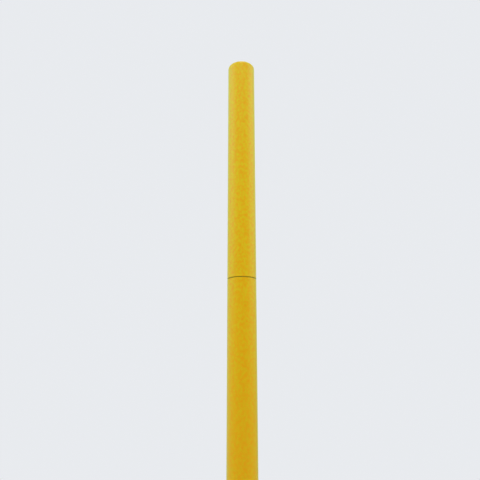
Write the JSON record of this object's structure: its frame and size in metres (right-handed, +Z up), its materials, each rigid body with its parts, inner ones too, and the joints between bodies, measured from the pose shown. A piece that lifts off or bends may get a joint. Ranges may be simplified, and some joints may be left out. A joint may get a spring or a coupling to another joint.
{
  "type": "avalanche probe",
  "caption": "Long slim sectional rescue probe: round tubes joined end to end on an inner cord, blunt closed pull grip on top, pointed metal tip below.",
  "frame": {"origin": "the point of the tip, on the shaft's axis", "axes": "+Z up the shaft from the tip to the grip; +X faces lock jaw 1"},
  "size_m": [0.014, 0.014, 2.4],
  "materials": {
    "shaft_finish": "satin yellow powder coat on aluminium tube",
    "grip_finish": "satin yellow powder coat on aluminium tube",
    "tip_metal": "turned and clear anodised",
    "ferrule_metal": "drawn tube, clear anodised",
    "nose_plastic": "moulded acetal",
    "lock_housing": "turned, black anodised",
    "bright_metal": "turned, clear anodised",
    "knob_finish": "turned and fluted, red anodised",
    "jaw_steel": "hardened, turned and slit",
    "spring_steel": "stainless spring wire",
    "seal_rubber": "moulded nitrile ring",
    "crimp_brass": "pressed sleeve",
    "plug_plastic": "turned acetal",
    "cord_fibre": "braided high-modulus cord"
  },
  "bodies": {
    "section_1": {"probe_tip": "tip_metal", "tip_crimp": "crimp_brass", "tip_plug": "bright_metal", "tension_cord": "cord_fibre", "tube_1": "shaft_finish", "ferrule_1": "ferrule_metal", "ferrule_nose_1": "nose_plastic"},
    "section_2": {"tube_2": "shaft_finish", "ferrule_2": "ferrule_metal", "ferrule_nose_2": "nose_plastic"},
    "section_3": {"tube_3": "shaft_finish", "ferrule_3": "ferrule_metal", "ferrule_nose_3": "nose_plastic"},
    "section_4": {"tube_4": "shaft_finish", "ferrule_4": "ferrule_metal", "ferrule_nose_4": "nose_plastic"},
    "section_5": {"tube_5": "shaft_finish", "ferrule_5": "ferrule_metal", "ferrule_nose_5": "nose_plastic"},
    "section_6": {"tube_6": "shaft_finish", "lock_body": "lock_housing", "lock_oring": "seal_rubber", "lock_cap": "lock_housing", "lock_spring": "spring_steel"},
    "release": {"release_sleeve": "bright_metal", "release_knob": "knob_finish"},
    "jaw_1": {"lock_jaw_1": "jaw_steel"},
    "jaw_2": {"lock_jaw_2": "jaw_steel"},
    "jaw_3": {"lock_jaw_3": "jaw_steel"},
    "grip": {"grip_tube": "grip_finish", "anchor_plug": "plug_plastic", "anchor_crimp": "crimp_brass", "cord_tail": "cord_fibre", "stowed_coil": "cord_fibre"}
  },
  "joints": [
    {"name": "draw_2", "type": "slide", "parent": "section_1", "child": "section_2", "axis": [0, 0, 1], "range_m": [0, 0.045]},
    {"name": "draw_3", "type": "slide", "parent": "section_2", "child": "section_3", "axis": [0, 0, 1], "range_m": [0, 0.045]},
    {"name": "draw_4", "type": "slide", "parent": "section_3", "child": "section_4", "axis": [0, 0, 1], "range_m": [0, 0.045]},
    {"name": "draw_5", "type": "slide", "parent": "section_4", "child": "section_5", "axis": [0, 0, 1], "range_m": [0, 0.045]},
    {"name": "draw_6", "type": "slide", "parent": "section_5", "child": "section_6", "axis": [0, 0, 1], "range_m": [0, 0.045]},
    {"name": "grip_lift", "type": "slide", "parent": "section_6", "child": "grip", "axis": [0, 0, 1], "range_m": [0, 0.1], "deforming": ["cord_tail"]},
    {"name": "release_lift", "type": "slide", "parent": "section_6", "child": "release", "axis": [0, 0, 1], "range_m": [0, 0.002], "stiffness_N_per_m": 400, "springref_m": -0.003, "deforming": ["lock_spring"]},
    {"name": "jaw_1_slide", "type": "slide", "parent": "section_6", "child": "jaw_1", "axis": [0.1736, 0, 0.9848], "range_m": [0, 0.00204]},
    {"name": "jaw_2_slide", "type": "slide", "parent": "section_6", "child": "jaw_2", "axis": [-0.0868, 0.1504, 0.9848], "range_m": [0, 0.00204]},
    {"name": "jaw_3_slide", "type": "slide", "parent": "section_6", "child": "jaw_3", "axis": [-0.0868, -0.1504, 0.9848], "range_m": [0, 0.00204]}
  ],
  "couplings": [
    {"joint": "jaw_1_slide", "follows": "release_lift", "ratio": 1.0154},
    {"joint": "jaw_2_slide", "follows": "release_lift", "ratio": 1.0154},
    {"joint": "jaw_3_slide", "follows": "release_lift", "ratio": 1.0154}
  ]
}
